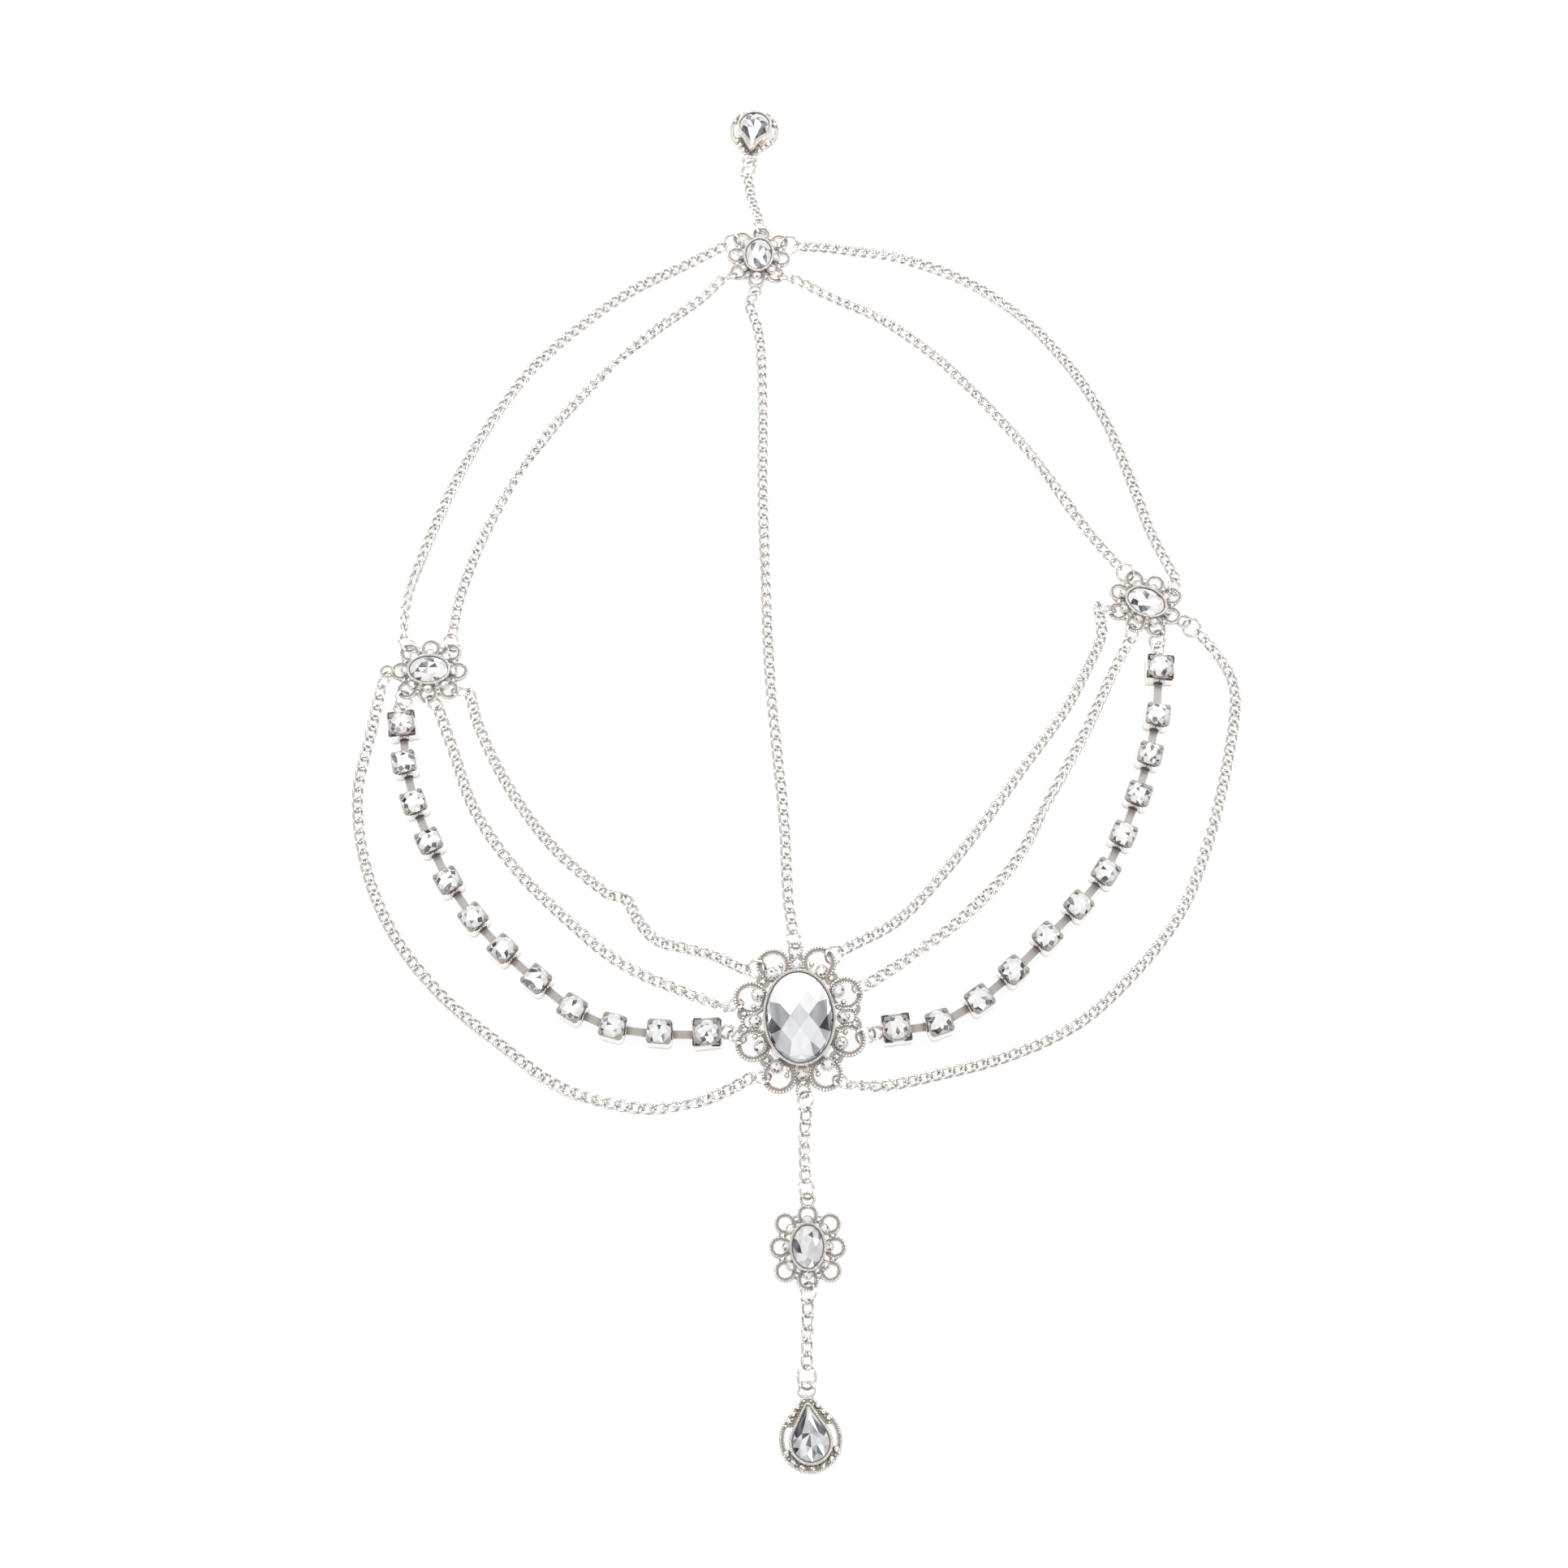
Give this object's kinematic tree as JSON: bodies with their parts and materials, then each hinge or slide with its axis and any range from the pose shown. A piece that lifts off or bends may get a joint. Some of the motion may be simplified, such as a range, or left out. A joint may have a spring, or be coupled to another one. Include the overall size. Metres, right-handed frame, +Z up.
{
  "type": "hair chain",
  "caption": "Hair chain of curb chains, cup chains and cast settings with clear cut stones, laid flat: ring of chains for the head, a centre strand, swags and two pear drops.",
  "frame": {"origin": "middle of the large setting's flat back, on the surface that the hair chain lies on", "axes": "+Z up out of the stones, +Y along the centre chain from the large setting to the small top setting, +X to the right as the picture shows it"},
  "size_m": [0.2518, 0.4161, 0.0072],
  "materials": {
    "cast_metal": "bright silver-coloured plating on a casting, greyer in its recesses",
    "chain_wire": "bright silver-coloured plated wire",
    "ring_wire": "bright silver-coloured plated wire",
    "cups": "bright plated sheet, matt grey bars",
    "crystal": "clear cut stones, foiled behind"
  },
  "bodies": {
    "root": {"centre_setting": "cast_metal", "centre_stone": "crystal", "centre_chatons": "crystal", "top_setting": "cast_metal", "top_stone": "crystal", "top_chatons": "crystal", "left_setting": "cast_metal", "left_stone": "crystal", "left_chatons": "crystal", "right_setting": "cast_metal", "right_stone": "crystal", "right_chatons": "crystal", "drop_setting": "cast_metal", "drop_stone": "crystal", "drop_chatons": "crystal", "top_pear_setting": "cast_metal", "top_pear_stone": "crystal", "bottom_pear_setting": "cast_metal", "bottom_pear_stone": "crystal", "left_cup_chain": "cups", "left_cup_stones": "crystal", "right_cup_chain": "cups", "right_cup_stones": "crystal", "centre_rings": "ring_wire", "top_rings": "ring_wire", "left_rings": "ring_wire", "right_rings": "ring_wire", "drop_rings": "ring_wire", "top_pear_ring": "ring_wire", "bottom_pear_ring": "ring_wire", "centre_chain": "chain_wire", "top_drop_chain": "chain_wire", "upper_drop_chain": "chain_wire", "lower_drop_chain": "chain_wire", "outer_top_left_chain": "chain_wire", "inner_top_left_chain": "chain_wire", "inner_top_right_chain": "chain_wire", "outer_top_right_chain": "chain_wire", "outer_left_swag": "chain_wire", "middle_left_swag": "chain_wire", "inner_left_swag": "chain_wire", "inner_right_swag": "chain_wire", "middle_right_swag": "chain_wire", "outer_right_swag": "chain_wire"}
  },
  "joints": []
}
